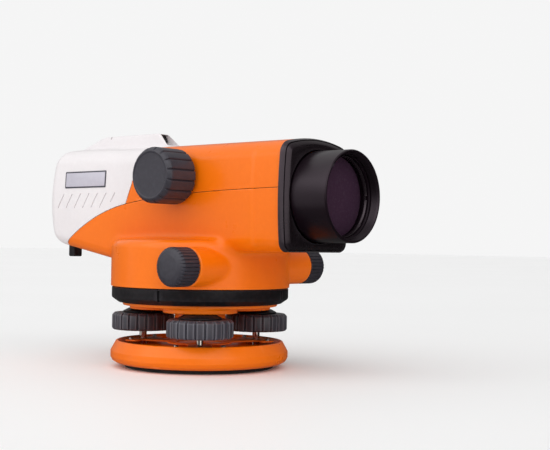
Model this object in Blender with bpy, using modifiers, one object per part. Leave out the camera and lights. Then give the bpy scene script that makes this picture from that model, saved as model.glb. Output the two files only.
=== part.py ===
"""Automatic level (surveying instrument) on a three-screw tribrach.

Frame: metres, +Z up along the vertical axis, +X along the line of sight towards the objective.
The origin is on the vertical axis at the underside of the base. -Y is the focus-knob side.
Sizes below are in millimetres; MM turns them into metres.
"""
import math

import bmesh
import bpy
from mathutils import Matrix, Vector

MM = 0.001
GAP = 0.3                      # clearance kept between neighbouring pieces

# ---- driving dimensions -------------------------------------------------------------------
BASE_R = 53.0                  # base plate
BASE_RIM_R = 49.9
BASE_TOP = 15.5
GASKET_R = 44.5
GASKET_TOP = 1.7
FLOOR_Z = 11.5                 # floor of the base plate's recess
FOOT_CIRCLE_R = 40.3
FOOT_START_DEG = -46.3         # the foot screw that faces the focus-knob side, at the front
FOOT_KNOB_R = 19.1
FOOT_KNOB_LOW, FOOT_KNOB_HIGH = 20.0, 30.5
FOOT_LOBES = 12
COLLAR_R = 12.4
TRIBRACH_R = 46.2
TRIBRACH_LOW, TRIBRACH_HIGH = 33.3, 46.2
RING_R = 52.8                  # setting ring of the horizontal circle
RING_SLOT_DEG = -72.8
RING_LOW, RING_HIGH = 38.1, 47.3
DRUM_R = 53.4
DRUM_LOW, DRUM_HIGH = 47.6, 76.5
DRUM_EDGE = 4.5                # rounding of the drum's upper edge
WALL = 2.4
AXIS_Z = 100.0                 # line of sight above the base
BODY_FRONT, BODY_REAR = 84.5, -109.0
BODY_LOW, BODY_HIGH = 69.3, 128.2
BODY_HALF = 28.1               # half width at the corners, before the sides bulge
SIDE_BULGE, TOP_CROWN = 1.8, 4.0
CORNER_R = 7.5
FLANGE_BACK, FLANGE_FACE = 84.8, 88.8
FLANGE_CORNER_R = 4.5
TUBE_FRONT, TUBE_R = 112.4, 25.3
TANGENT_X, TANGENT_Z = 35.8, 60.4
TANGENT_KNOB_R = 10.9
TANGENT_INNER, TANGENT_OUTER = 49.0, 63.6
FOCUS_X, FOCUS_Z = 9.6, 111.4
FOCUS_KNOB_R = 15.95
FOCUS_INNER, FOCUS_OUTER = 31.6, 53.1
RACK_PITCH_R = 3.0             # pitch radius of the focusing pinion
PINION_TEETH = 12
EYE_END = -113.6
PENDULUM_X, PENDULUM_Z = -40.0, 120.0
MIRROR_X, MIRROR_Y, MIRROR_Z = 9.5, 41.5, 88.0
MIRROR_OPEN_DEG = 45.0
VIAL_X = -4.0

FEET = {letter: math.radians(FOOT_START_DEG + 120 * k) for k, letter in enumerate("abc")}


# ---- scene, collections and materials ---------------------------------------------------
def clear_scene():
    for item in list(bpy.data.objects):
        bpy.data.objects.remove(item, do_unlink=True)


def new_collection(name):
    group = bpy.data.collections.new(name)
    bpy.context.scene.collection.children.link(group)
    return group


clear_scene()
PARTS = new_collection("automatic_level")
CUTTERS = new_collection("cutters")


def principled(name, colour, roughness, metallic=0.0, transmission=0.0):
    made = bpy.data.materials.new(name)
    made.use_nodes = True
    shader = made.node_tree.nodes["Principled BSDF"]
    shader.inputs["Base Color"].default_value = (*colour, 1.0)
    shader.inputs["Roughness"].default_value = roughness
    shader.inputs["Metallic"].default_value = metallic
    shader.inputs["Transmission Weight"].default_value = transmission
    made.diffuse_color = (*colour, 1.0)
    return made


LOOKS = {
    "orange": ((0.87, 0.17, 0.018), 0.35, 0.0, 0.0),
    "white": ((0.84, 0.82, 0.80), 0.45, 0.0, 0.0),
    "black": ((0.035, 0.033, 0.04), 0.5, 0.0, 0.0),
    "gloss_black": ((0.012, 0.011, 0.013), 0.22, 0.0, 0.0),
    "knob": ((0.06, 0.058, 0.072), 0.55, 0.0, 0.0),
    "rubber": ((0.02, 0.02, 0.02), 0.85, 0.0, 0.0),
    "steel": ((0.72, 0.70, 0.68), 0.25, 1.0, 0.0),
    "brass": ((0.72, 0.52, 0.22), 0.3, 1.0, 0.0),
    "aluminium": ((0.55, 0.56, 0.58), 0.4, 1.0, 0.0),
    "glass": ((0.55, 0.60, 0.62), 0.05, 0.0, 0.9),
    "coated_glass": ((0.06, 0.03, 0.07), 0.05, 0.0, 0.6),
    "scale": ((0.80, 0.80, 0.78), 0.4, 0.0, 0.0),
    "label": ((0.58, 0.56, 0.66), 0.4, 0.0, 0.0),
    "mirror": ((0.85, 0.86, 0.88), 0.04, 1.0, 0.0),
    "liquid": ((0.62, 0.74, 0.22), 0.05, 0.0, 0.5),
}


# ---- helpers -----------------------------------------------------------------------------
def place(name, mesh, look=None, origin=(0, 0, 0)):
    """Link a mesh built in world millimetres as an object in metres, with its origin at a point."""
    mesh.transform(Matrix.Translation(-Vector(origin)))
    mesh.transform(Matrix.Scale(MM, 4))
    item = bpy.data.objects.new(name, mesh)
    item.location = Vector(origin) * MM
    if look is None:
        CUTTERS.objects.link(item)
        item.hide_render = True
        item.display_type = "WIRE"
    else:
        PARTS.objects.link(item)
        mesh.materials.clear()
        mesh.materials.append(principled(name, *LOOKS[look]))
        mesh.shade_smooth()
        mesh.set_sharp_from_angle(angle=math.radians(35))
    return item


def to_mesh(bm, name):
    bmesh.ops.recalc_face_normals(bm, faces=bm.faces)
    mesh = bpy.data.meshes.new(name)
    bm.to_mesh(mesh)
    bm.free()
    return mesh


def flattened(item):
    """The evaluated mesh of a temporary object in world millimetres; the object is removed."""
    bpy.context.view_layer.update()
    graph = bpy.context.evaluated_depsgraph_get()
    mesh = bpy.data.meshes.new_from_object(item.evaluated_get(graph))
    mesh.transform(item.matrix_world)
    bm = bmesh.new()
    bm.from_mesh(mesh)
    bmesh.ops.remove_doubles(bm, verts=bm.verts, dist=0.0005)
    bpy.data.meshes.remove(mesh)
    bpy.data.objects.remove(item, do_unlink=True)
    return bm


AXES = {
    "z": Matrix.Identity(4),
    "x": Matrix.Rotation(math.radians(90), 4, "Y"),
    "y": Matrix.Rotation(math.radians(-90), 4, "X"),
}


def turned(profile, steps, axis="z", centre=(0, 0, 0), ring=False):
    """Turn (radius, height) points, listed down the outer side, about an axis with Screw.

    A solid's profile starts and ends on the axis; a ring's profile is closed.
    """
    mesh = bpy.data.meshes.new("profile")
    points = [(r, 0.0, h) for r, h in profile]
    edges = [(k, k + 1) for k in range(len(points) - 1)]
    if ring:
        edges.append((len(points) - 1, 0))
    mesh.from_pydata(points, edges, [])
    item = bpy.data.objects.new("profile", mesh)
    PARTS.objects.link(item)
    screw = item.modifiers.new("Screw", "SCREW")
    screw.axis = "Z"
    screw.steps = screw.render_steps = steps
    screw.use_merge_vertices = True
    screw.merge_threshold = 0.0001
    item.matrix_world = Matrix.Translation(centre) @ AXES[axis]
    return to_mesh(flattened(item), "turned")


def cylinder(radius, low, high, steps=24, axis="z", centre=(0, 0, 0)):
    return turned([(0, high), (radius, high), (radius, low), (0, low)], steps, axis, centre)


def tube(inner, outer, low, high, steps=32, axis="z", centre=(0, 0, 0)):
    profile = [(outer, high), (outer, low), (inner, low), (inner, high)]
    return turned(profile, steps, axis, centre, ring=True)


def box(low, high, bevel=0.0, turn=None):
    """A box between two corners, with bevelled edges and an optional turn about its centre."""
    low, high = Vector(low), Vector(high)
    bm = bmesh.new()
    bmesh.ops.create_cube(bm, size=1.0)
    size = high - low
    bmesh.ops.scale(bm, vec=size, verts=bm.verts)
    if bevel:
        bmesh.ops.bevel(bm, geom=bm.edges[:], offset=bevel, segments=1, affect="EDGES")
    if turn:
        bmesh.ops.transform(bm, matrix=turn, verts=bm.verts)
    bmesh.ops.translate(bm, vec=(low + high) / 2, verts=bm.verts)
    return to_mesh(bm, "box")


def extruded(outline, low, high, axis="z", centre=(0, 0, 0)):
    """A flat closed outline, filled as a 2D curve, extruded between two heights along an axis."""
    curve = bpy.data.curves.new("outline", "CURVE")
    curve.dimensions = "2D"
    curve.fill_mode = "BOTH"
    curve.extrude = (high - low) / 2
    spline = curve.splines.new("POLY")
    spline.points.add(len(outline) - 1)
    for point, (u, v) in zip(spline.points, outline):
        point.co = (u, v, 0, 1)
    spline.use_cyclic_u = True
    item = bpy.data.objects.new("outline", curve)
    PARTS.objects.link(item)
    lift = Matrix.Translation((0, 0, (high + low) / 2))
    item.matrix_world = Matrix.Translation(centre) @ AXES[axis] @ lift
    return to_mesh(flattened(item), "extruded")


def boolean(item, kind, *meshes):
    """Add one EXACT Boolean for each mesh, given in world millimetres."""
    for mesh in meshes:
        cutter = place(f"{item.name}_{kind.lower()}", mesh)
        made = item.modifiers.new(kind.title(), "BOOLEAN")
        made.operation = kind
        made.solver = "EXACT"
        made.object = cutter
    return item


def on_foot(angle, radius=FOOT_CIRCLE_R, z=0.0):
    return Vector((radius * math.cos(angle), radius * math.sin(angle), z))


# ---- base plate, gasket, spring plate ----------------------------------------------------
def make_base():
    rim = [(BASE_R - 3.6, BASE_TOP), (BASE_RIM_R, BASE_TOP - 0.4), (BASE_R, 9.5), (BASE_R, 6.0),
           (BASE_R - 1.2, 3.9), (BASE_R - 3.6, 2.5), (BASE_R - 7.5, GASKET_TOP + GAP)]
    inside = [(8.0, GASKET_TOP + GAP), (8.0, 13.0), (12.0, 13.0), (12.8, FLOOR_Z), (47.4, FLOOR_Z),
              (48.4, BASE_TOP)]
    plate = place("base_plate", turned(rim + inside, 48, ring=True), "orange")
    for angle in FEET.values():
        boolean(plate, "DIFFERENCE", cylinder(5.4, 4.6, 20, 14, centre=on_foot(angle)))
    place("base_gasket", tube(12.0, GASKET_R, 0.0, GASKET_TOP, 40), "rubber")


def make_spring_plate():
    """A flat star with a bar across each foot screw, held down by two screws a foot."""
    low, high = 13.6, 14.4
    plate = place("spring_plate", tube(14.0, 20.0, low, high, 30), "orange")
    holes = []
    number = 1
    for angle in FEET.values():
        turn = Matrix.Rotation(angle, 4, "Z")
        for half_x, half_y, x in ((11.0, 7.0, 27.0), (4.4, 15.4, 39.6)):
            arm = box((x - half_x, -half_y, low), (x + half_x, half_y, high))
            arm.transform(turn)
            boolean(plate, "UNION", arm)
        holes.append(cylinder(2.6, low - 1, high + 1, 12, centre=on_foot(angle)))
        for side in (-1, 1):
            spot = turn @ Vector((FOOT_CIRCLE_R, side * 13.4, 0))
            head = [(0, 16.6), (1.0, 16.6), (1.6, 16.0), (1.6, high + 0.05), (0, high + 0.05)]
            place(f"plate_screw_{number}", turned(head, 8, centre=spot), "steel")
            number += 1
    boolean(plate, "DIFFERENCE", *holes)


# ---- tribrach, foot screws ---------------------------------------------------------------
def make_tribrach():
    profile = [(0, TRIBRACH_HIGH), (TRIBRACH_R - 0.6, TRIBRACH_HIGH), (TRIBRACH_R, TRIBRACH_HIGH - 0.6),
               (TRIBRACH_R, 36.4), (15.3, 36.4), (15.3, 24.6), (14.5, 24.0), (0, 24.0)]
    plate = place("tribrach", turned(profile, 48), "orange")
    lobe_r = 21.7
    for angle in FEET.values():
        centre = on_foot(angle, TRIBRACH_R - lobe_r)
        boolean(plate, "UNION", cylinder(lobe_r - 0.05, TRIBRACH_LOW, 37.0, 32, centre=centre))
    boolean(plate, "DIFFERENCE", cylinder(9.3, 20, 50, 30))
    for angle in FEET.values():
        boolean(plate, "DIFFERENCE", cylinder(3.9, 30, 50, 14, centre=on_foot(angle)))
    spindle = [(0, 64.5), (8.2, 64.5), (9.0, 63.7), (9.0, 48.1), (12.8, 48.1), (12.8, 46.5), (9.0, 46.5),
               (9.0, 26.0), (0, 26.0)]
    place("spindle", turned(spindle, 24), "steel")


def knob_outline(radius, lobes, depth, groove_deg, per_lobe):
    """A round outline with a narrow groove between each pair of lobes."""
    points = []
    pitch = 360.0 / lobes
    for k in range(lobes):
        start = k * pitch
        points.append((radius - depth, start))
        for j in range(per_lobe):
            share = j / (per_lobe - 1)
            points.append((radius, start + groove_deg + share * (pitch - 2 * groove_deg)))
    return [(r * math.cos(math.radians(a)), r * math.sin(math.radians(a))) for r, a in points]


def make_foot_screws():
    for letter, angle in FEET.items():
        spot = on_foot(angle)
        ball = [(2.8 * math.sin(math.radians(a)), 9.3 - 2.8 * math.cos(math.radians(a)))
                for a in (130, 100, 60, 30)]
        shaft = [(0, 44.5), (2.9, 44.5), (3.5, 43.9), (3.5, 19.0), (2.0, 18.0), (2.0, 11.2), *ball, (0, 6.5)]
        place(f"foot_screw_{letter}", turned(shaft, 12, centre=spot), "steel", spot)
        outline = knob_outline(FOOT_KNOB_R, FOOT_LOBES, 1.1, 4.0, 3)
        knob = extruded(outline, FOOT_KNOB_LOW, FOOT_KNOB_HIGH, centre=spot)
        knob = place(f"foot_knob_{letter}", knob, "knob", spot)
        boolean(knob, "DIFFERENCE", cylinder(3.8, 10, 50, 12, centre=spot))
        collar = [(COLLAR_R - 3.0, 33.0), (COLLAR_R, 31.4), (COLLAR_R, 30.8), (3.9, 30.8), (3.9, 33.0)]
        place(f"screw_collar_{letter}", turned(collar, 20, centre=spot, ring=True), "black")


# ---- horizontal circle, worm wheel, bearing ----------------------------------------------
def make_circle():
    profile = [(RING_R - 0.4, RING_HIGH), (RING_R, RING_HIGH - 0.4), (RING_R, 41.2), (48.6, RING_LOW),
               (46.8, RING_LOW), (46.8, 46.5), (38.0, 46.5), (38.0, RING_HIGH)]
    ring = place("circle_ring", turned(profile, 56, ring=True), "black")
    for k in range(4):
        turn = Matrix.Rotation(math.radians(RING_SLOT_DEG + 90 * k), 4, "Z")
        slot = box((51.6, -0.6, 40.8), (54.0, 0.6, 46.6))
        slot.transform(turn)
        boolean(ring, "DIFFERENCE", slot)
    place("circle_scale", tube(36.0, 45.0, RING_HIGH + GAP, 48.5, 36), "scale")


def make_axis():
    wheel = [(31.2, 63.0), (31.2, 50.0), (28.0, 48.9), (13.6, 48.9), (13.6, 52.4), (27.5, 52.4),
             (27.5, 63.0)]
    place("worm_wheel", turned(wheel, 40, ring=True), "brass")
    sleeve = [(12.2, 72.3), (12.2, 69.4), (17.0, 69.0), (17.0, 67.2), (12.2, 67.2), (12.2, 49.2),
              (9.3, 49.2), (9.3, 66.0), (4.0, 66.0), (4.0, 72.3)]
    place("bearing_sleeve", turned(sleeve, 24, ring=True), "brass")


# ---- telescope housing -------------------------------------------------------------------
def seam_z(x):
    """Height of the joint line between the lower case and the covers."""
    back = -36.0
    if x >= back:
        return 96.3 + 8.6 * (1 - math.exp((back - x) / 50.0))
    run = back - x
    return 96.3 - 0.17 * run - 0.0046 * run * run


def split_x(z):
    """The sloping joint between the rear cover and the upper cover."""
    return -35.2 + 0.41 * (z - 96.3)


def body_limits(x):
    """Underside and upper edge of the telescope body at a station."""
    low = BODY_LOW
    if x < -30:
        dip = min((-30 - x) / 22.0, 1.0)
        low = BODY_LOW - 6.4 * dip + max(-52 - x, 0) * 0.18
    high = BODY_HIGH + 1.2 * min(max((-45 - x) / 30.0, 0.0), 1.0)
    return low, high


def section(x, inset, rise, corner_r, arc_steps, edge_steps):
    """Points round the body at a station: a rounded rectangle with bulged sides and a crowned top."""
    low, high = body_limits(x)
    low, high, half = low + rise, high - rise, BODY_HALF - inset
    corner = max(corner_r - 0.6 * inset, 2.5)
    mid, reach = (low + high) / 2, (high - low) / 2
    points = []
    corners = ((1, -1, -90), (1, 1, 0), (-1, 1, 90), (-1, -1, 180))
    for k, (side, up, start) in enumerate(corners):
        cy, cz = side * (half - corner), mid + up * (reach - corner)
        for j in range(arc_steps + 1):
            angle = math.radians(start + 90 * j / arc_steps)
            points.append((cy + corner * math.cos(angle), cz + corner * math.sin(angle)))
        side_n, up_n, start_n = corners[(k + 1) % 4]
        angle = math.radians(start_n)
        cy, cz = side_n * (half - corner), mid + up_n * (reach - corner)
        end = (cy + corner * math.cos(angle), cz + corner * math.sin(angle))
        y0, z0 = points[-1]
        for j in range(1, edge_steps[k]):
            share = j / edge_steps[k]
            points.append((y0 + share * (end[0] - y0), z0 + share * (end[1] - z0)))
    shaped = []
    for y, z in points:
        t = (z - mid) / reach
        wide = y + SIDE_BULGE * (1 - t * t) * y / half
        tall = z + TOP_CROWN * (1 - (y / half) ** 2) * max(t, 0.0) ** 2
        shaped.append((wide, tall))
    return shaped


def loft(stations, arc_steps=3, edge_steps=(4, 5, 4, 2), rear_bulge=0.0, corner_r=CORNER_R):
    """Join body sections given as (x, side inset, end inset) into one solid, capped at both ends."""
    bm = bmesh.new()
    rings = []
    for x, inset, rise in stations:
        ring = []
        for y, z in section(x, inset, rise, corner_r, arc_steps, edge_steps):
            pull = rear_bulge * min(max((-80 - x) / 29.0, 0.0), 1.0) * ((z - 98) / 27.0) ** 2
            ring.append(bm.verts.new((x + pull, y, z)))
        rings.append(ring)
    for first, second in zip(rings, rings[1:]):
        for k in range(len(first)):
            n = (k + 1) % len(first)
            bm.faces.new((first[k], first[n], second[n], second[k]))
    bm.faces.new(rings[0])
    bm.faces.new(rings[-1])
    bmesh.ops.triangulate(bm, faces=bm.faces)
    return to_mesh(bm, "loft")


def rounded_end(rear, radius, steps, inset=0.0):
    """Stations that round the rear end over with a quarter circle."""
    made = []
    for k in range(steps + 1):
        angle = math.radians(90 * k / steps)
        depth = inset + radius * (1 - math.cos(angle))
        made.append((rear + radius * (1 - math.sin(angle)), depth, depth))
    return made


def body_solid(grow=0.0):
    front = [(x, -grow, -grow) for x in (BODY_FRONT, 60, 0, -30, -52, -75)]
    return loft(front + rounded_end(BODY_REAR - grow, 8.0, 4, -grow), rear_bulge=3.0)


def body_cavity():
    front = [(x, WALL, WALL) for x in (BODY_FRONT + 2, 0, -30, -52, -75)]
    return loft(front + rounded_end(BODY_REAR + WALL, 6.0, 2, WALL), 2, (2, 4, 2, 1), rear_bulge=3.0)


def region(kind):
    """A wide prism that keeps one housing piece's share of the body."""
    half_gap = 0.18
    top, bottom, reach, stops = 150.0, 40.0, 60.0, 20
    joint = split_x(seam_z(-36.0))
    first, last, lift = {
        "lower": (-100.0, 95.0, -half_gap),
        "rear": (-100.0, joint - half_gap, half_gap),
        "upper": (joint + half_gap, 95.0, half_gap),
    }[kind]
    stations = [first + (last - first) * k / stops for k in range(stops + 1)]
    line = [(x, seam_z(x) + lift) for x in stations]
    if kind == "lower":
        outline = [(-100.0, bottom), (95.0, bottom), *reversed(line)]
    elif kind == "rear":
        outline = [(-130.0, line[0][1]), *line, (split_x(top) - half_gap, top), (-130.0, top)]
    else:
        outline = [*line, (95.0, top), (split_x(top) + half_gap, top)]
    flipped = [(x, -z) for x, z in outline]
    return extruded(flipped, -reach, reach, "y")


def drum_solid(grow=0.0):
    """The round lower part of the housing: its top falls gently from the body to a rounded edge."""
    radius, shoulder = DRUM_R + grow, DRUM_HIGH - 1.5 + grow
    arc = [(radius - DRUM_EDGE * (1 - math.sin(a)), shoulder - DRUM_EDGE * (1 - math.cos(a)))
           for a in (math.pi / 12, math.pi / 4, math.pi / 2)]
    top = [(0, DRUM_HIGH + grow), (26.0, DRUM_HIGH + grow)]
    return turned([*top, *arc, (radius, DRUM_LOW), (0, DRUM_LOW)], 56)


def make_lower_case():
    case = place("lower_case", body_solid(), "orange")
    boolean(case, "INTERSECT", region("lower"))
    boss = cylinder(TANGENT_KNOB_R, -48.7, 48.7, 28, "y", (TANGENT_X, 0, TANGENT_Z))
    boolean(case, "UNION", drum_solid(), boss)
    spot = (TANGENT_X, 0, TANGENT_Z)
    boolean(case, "DIFFERENCE", body_cavity(), cylinder(49.9, 40, 66.6, 44),
            cylinder(18.2, 60, 69.7, 28), cylinder(12.5, 60, 80, 24), cylinder(3.6, -55, 55, 14, "y", spot))


def make_covers():
    upper = place("upper_cover", body_solid(), "orange")
    boolean(upper, "INTERSECT", region("upper"))
    boolean(upper, "DIFFERENCE", body_cavity(), cylinder(3.2, -40, -20, 14, "y", (FOCUS_X, 0, FOCUS_Z)))
    rear = place("rear_cover", body_solid(), "white")
    boolean(rear, "INTERSECT", region("rear"))
    boolean(rear, "DIFFERENCE", body_cavity())
    eye = (0, 0, AXIS_Z)
    boolean(rear, "UNION", cylinder(21.0, -107.5, -100.2, 28, "x", eye))
    boolean(rear, "DIFFERENCE", cylinder(18.6, -112, -102.8, 28, "x", eye),
            cylinder(12.9, -112, -98, 24, "x", eye))


def make_sight():
    """The sighting ridge: a rail with sloping ends, a window cut in its front slope and a rear notch."""
    base_z, top_z = 131.0, 141.3
    outline = [(-103.5, base_z), (-102.2, 134.2), (-84.5, top_z), (-33.5, top_z), (-21.9, base_z)]
    bm = bmesh.new()
    rows = []
    for x, z in outline:
        half = 3.9 + 0.25 * (top_z - z)
        rows.append([bm.verts.new((x, -half, z)), bm.verts.new((x, half, z))])
    for a, b in zip(rows, rows[1:] + rows[:1]):
        bm.faces.new((a[0], a[1], b[1], b[0]))
    bm.faces.new([row[0] for row in rows])
    bm.faces.new([row[1] for row in rows])
    rail = place("sight_rail", to_mesh(bm, "rail"), "white")
    boolean(rail, "DIFFERENCE", body_solid(GAP), box((-46, -2.9, 135.4), (-20, 2.9, 140.4)),
            box((-79.5, -5.0, 140.3), (-75.5, 5.0, 143)))
    place("sight_window", box((-45.7, -2.6, 135.7), (-40.5, 2.6, 140.1)), "gloss_black")


def make_label():
    tilt = Matrix.Rotation(math.radians(-3.0), 4, "X")
    y = -30.1
    place("label_plate", box((-89.5, y - 0.25, 107.2), (-52.0, y + 0.25, 118.0), turn=tilt), "label")


def make_front():
    steps = [(FLANGE_BACK, -1.1, 0.0), (85.5, -1.2, 0.0), (87.2, 0.2, 0.7), (87.5, 1.1, 1.2),
             (FLANGE_FACE, 3.0, 2.4)]
    flange = place("front_flange", loft(steps, corner_r=FLANGE_CORNER_R), "black")
    boolean(flange, "DIFFERENCE", cylinder(25.0, 80, 95, 40, "x", (0, 0, AXIS_Z)))
    eye = (0, 0, AXIS_Z)
    shell = [(23.8, TUBE_FRONT), (TUBE_R - 0.4, TUBE_FRONT), (TUBE_R, TUBE_FRONT - 0.4), (25.9, 89.5),
             (24.6, 89.5), (24.6, 62.0), (21.0, 62.0), (21.0, 96.4), (22.7, 96.4), (22.7, 106.6),
             (23.5, 106.6)]
    place("objective_tube", turned(shell, 40, "x", eye, ring=True), "gloss_black")
    lens = [(0, 103.0), (8, 102.8), (15, 102.1), (22.3, 100.8), (22.3, 97.6), (15, 96.9), (0, 96.7)]
    place("objective_lens", turned(lens, 28, "x", eye), "coated_glass")
    place("lens_ring", tube(21.4, 22.3, 103.3, 105.4, 32, "x", eye), "black")


# ---- inside the telescope ------------------------------------------------------------------
def make_bench():
    bench = place("optical_bench", box((-62, -12, 72.9), (58, 12, 75.0)), "aluminium")
    for x in (-18.0, 46.0):
        boolean(bench, "UNION", box((x, -20, 72.9), (x + 3, 20, 119)))
    boolean(bench, "DIFFERENCE", cylinder(15.0, -30, 60, 28, "x", (0, 0, AXIS_Z)))
    place("guide_rod", cylinder(1.5, -14.7, 45.7, 12, "x", (0, -17.4, AXIS_Z)), "steel")


def make_focusing():
    eye = (0, 0, AXIS_Z)
    carriage = place("lens_carriage", cylinder(14.4, 14.0, 24.0, 28, "x", eye), "aluminium")
    boolean(carriage, "UNION", box((14, -19.6, 96.5), (24, -13.4, 105.2)))
    boolean(carriage, "DIFFERENCE", cylinder(11.3, 10, 30, 24, "x", eye),
            cylinder(1.8, 10, 30, 12, "x", (0, -17.4, AXIS_Z)))
    lens = [(0, 20.2), (11.0, 21.8), (11.0, 16.8), (0, 18.2)]
    place("focusing_lens", turned(lens, 24, "x", eye), "glass")
    make_rack()
    spot = Vector((FOCUS_X, 0, FOCUS_Z))
    shaft = [(0, -15.6), (1.5, -15.6), (1.5, -20.0), (2.9, -20.0), (2.9, -50.0), (0, -50.0)]
    place("focus_shaft", turned(shaft, 16, "y", spot), "steel", spot)
    make_pinion(spot)
    profile = [(0, -50.5), (3.2, -50.5), (3.2, -FOCUS_INNER), (FOCUS_KNOB_R - 0.4, -FOCUS_INNER),
               (FOCUS_KNOB_R, -FOCUS_INNER - 0.4), (FOCUS_KNOB_R, -51.9), (15.2, -52.8),
               (14.0, -FOCUS_OUTER), (12.9, -FOCUS_OUTER), (12.6, -52.8), (0, -52.8)]
    knob = place("focus_knob", turned(profile, 48, "y", spot), "knob", spot)
    cut_flutes(knob, spot, FOCUS_KNOB_R, 16, 0.7, -60.0, -25.0)


def make_rack():
    """A toothed bar under the pinion; its tooth spacing is the pinion's pitch along the pitch line."""
    pitch = 2 * math.pi * RACK_PITCH_R / PINION_TEETH
    line = FOCUS_Z - RACK_PITCH_R
    root, tip, bottom = line - 0.8, line + 0.3, 105.5
    teeth = 8
    outline = [(FOCUS_X - (teeth + 0.5) * pitch, -bottom), (FOCUS_X - (teeth + 0.5) * pitch, -root)]
    for k in range(-teeth, teeth + 1):
        x = FOCUS_X + k * pitch
        outline += [(x - 0.40, -root), (x - 0.15, -tip), (x + 0.15, -tip), (x + 0.40, -root)]
    outline += [(FOCUS_X + (teeth + 0.5) * pitch, -root), (FOCUS_X + (teeth + 0.5) * pitch, -bottom)]
    place("focus_rack", extruded(outline, -19.3, -15.6, "y"), "steel")


def make_pinion(spot):
    """Twelve straight teeth; a gap, not a tooth, faces the rack at rest."""
    points = []
    for k in range(PINION_TEETH):
        centre = 90 + 15 + k * 360 / PINION_TEETH
        for radius, angle in ((2.45, -9.0), (3.4, -4.0), (3.4, 4.0), (2.45, 9.0)):
            turn = math.radians(centre + angle)
            points.append((radius * math.cos(turn), radius * math.sin(turn)))
    pinion = place("focus_pinion", extruded(points, -18.9, -15.9, "y", spot), "brass", spot)
    boolean(pinion, "DIFFERENCE", cylinder(1.8, -25, -10, 12, "y", spot))


def cut_flutes(knob, spot, radius, count, depth, low, high):
    """Keep what lies inside a star-shaped prism, which leaves a V flute between each pair of ribs."""
    outline = []
    for k in range(count):
        for share, r in ((0.0, radius - depth), (0.16, radius + 0.3), (0.84, radius + 0.3)):
            angle = 2 * math.pi * (k + 0.5 + share) / count
            outline.append((r * math.cos(angle), r * math.sin(angle)))
    boolean(knob, "INTERSECT", extruded(outline, low, high, "y", spot))


def make_compensator():
    frame = place("compensator_frame", box((-50, -14, 75.3), (-30, -11, 125)), "aluminium")
    boolean(frame, "UNION", box((-50, 11, 75.3), (-30, 14, 125)), box((-50, -14, 122.6), (-30, 14, 125)),
            box((-62, -14, 75.3), (-49, 14, 92.6)))
    boolean(frame, "DIFFERENCE", box((-51, -10.9, 77.3), (-29, 10.9, 122.5)))
    spot = (PENDULUM_X, 0, PENDULUM_Z)
    bob = place("pendulum", box((-45, -8, 80), (-35, 8, 121.5), 0.5), "brass", spot)
    boolean(bob, "DIFFERENCE", box((-50, -6, 93), (-30, 6, 107)))
    place("pendulum_prism", box((-44, -5.7, 93.3), (-36, 5.7, 106.7)), "glass", spot)
    place("roof_prism", box((-61, -7, 92.9), (-51, 7, 107), 0.4), "glass")


def make_eyepiece():
    eye = (0, 0, AXIS_Z)
    place("reticle_cell", tube(8.0, 13.5, -84.0, -79.0, 28, "x", eye), "aluminium")
    place("eyepiece_tube", tube(10.2, 12.5, -110.8, -84.3, 28, "x", eye), "black")
    lens = [(0, -100.8), (9.9, -102.4), (9.9, -104.2), (0, -106.0)]
    place("eyepiece_lens", turned(lens, 28, "x", eye), "glass")
    ring = [(16.8, -103.1), (17.4, -103.7), (17.4, -110.6), (16.8, -111.2), (12.8, -111.2), (12.8, -103.1)]
    place("dioptre_ring", turned(ring, 32, "x", eye, ring=True), "black", eye)
    cup = [(16.0, -111.5), (16.0, -112.6), (14.6, EYE_END), (11.0, EYE_END), (9.6, -112.6), (9.6, -111.5)]
    place("eyecup", turned(cup, 28, "x", eye, ring=True), "rubber", eye)


def make_reader():
    reader = place("circle_reader", box((-110.4, -10.6, 63.6), (-104.6, -3.6, 80), 0.5), "black")
    boolean(reader, "DIFFERENCE", body_solid(GAP))


# ---- circular level and its mirror ---------------------------------------------------------
def make_level():
    spot = (VIAL_X, MIRROR_Y, 0)
    cup = [(0, 78.6), (7.6, 78.6), (7.6, 83.0), (9.2, 83.0), (9.6, 82.6), (9.6, 70.0), (0, 70.0)]
    housing = place("level_housing", turned(cup, 24, centre=spot), "black")
    for side in (-1, 1):
        y = MIRROR_Y + side * 7.6
        boolean(housing, "UNION", box((2.5, y - 1.0, 70.0), (12.0, y + 1.0, 90.2), 0.3))
    boolean(housing, "DIFFERENCE", drum_solid(GAP), cylinder(1.3, 20, 70, 12, "y", (MIRROR_X, 0, MIRROR_Z)))
    vial = [(0, 83.6), (4, 83.4), (7.3, 82.6), (7.3, 78.9), (0, 78.9)]
    place("level_vial", turned(vial, 24, centre=spot), "liquid")
    hinge = Vector((MIRROR_X, MIRROR_Y, MIRROR_Z))
    swing = Matrix.Translation(hinge) @ Matrix.Rotation(math.radians(MIRROR_OPEN_DEG), 4, "Y")
    swing = swing @ Matrix.Translation(-hinge)
    plate = box((MIRROR_X - 21.0, MIRROR_Y - 6.2, MIRROR_Z - 0.2),
                (MIRROR_X - 0.3, MIRROR_Y + 6.2, 89.6), 0.3)
    plate.transform(swing)
    frame = place("mirror_frame", plate, "black", hinge)
    pin = cylinder(1.0, MIRROR_Y - 8.4, MIRROR_Y + 8.4, 14, "y", (MIRROR_X, 0, MIRROR_Z))
    boolean(frame, "UNION", pin)
    pocket = box((MIRROR_X - 19.8, MIRROR_Y - 5.2, MIRROR_Z - 1), (MIRROR_X - 3.0, MIRROR_Y + 5.2, 88.6))
    pocket.transform(swing)
    boolean(frame, "DIFFERENCE", pocket)
    glass = box((MIRROR_X - 19.5, MIRROR_Y - 4.9, 87.9), (MIRROR_X - 3.3, MIRROR_Y + 4.9, 88.3))
    glass.transform(swing)
    place("mirror_glass", glass, "mirror", hinge)


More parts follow.
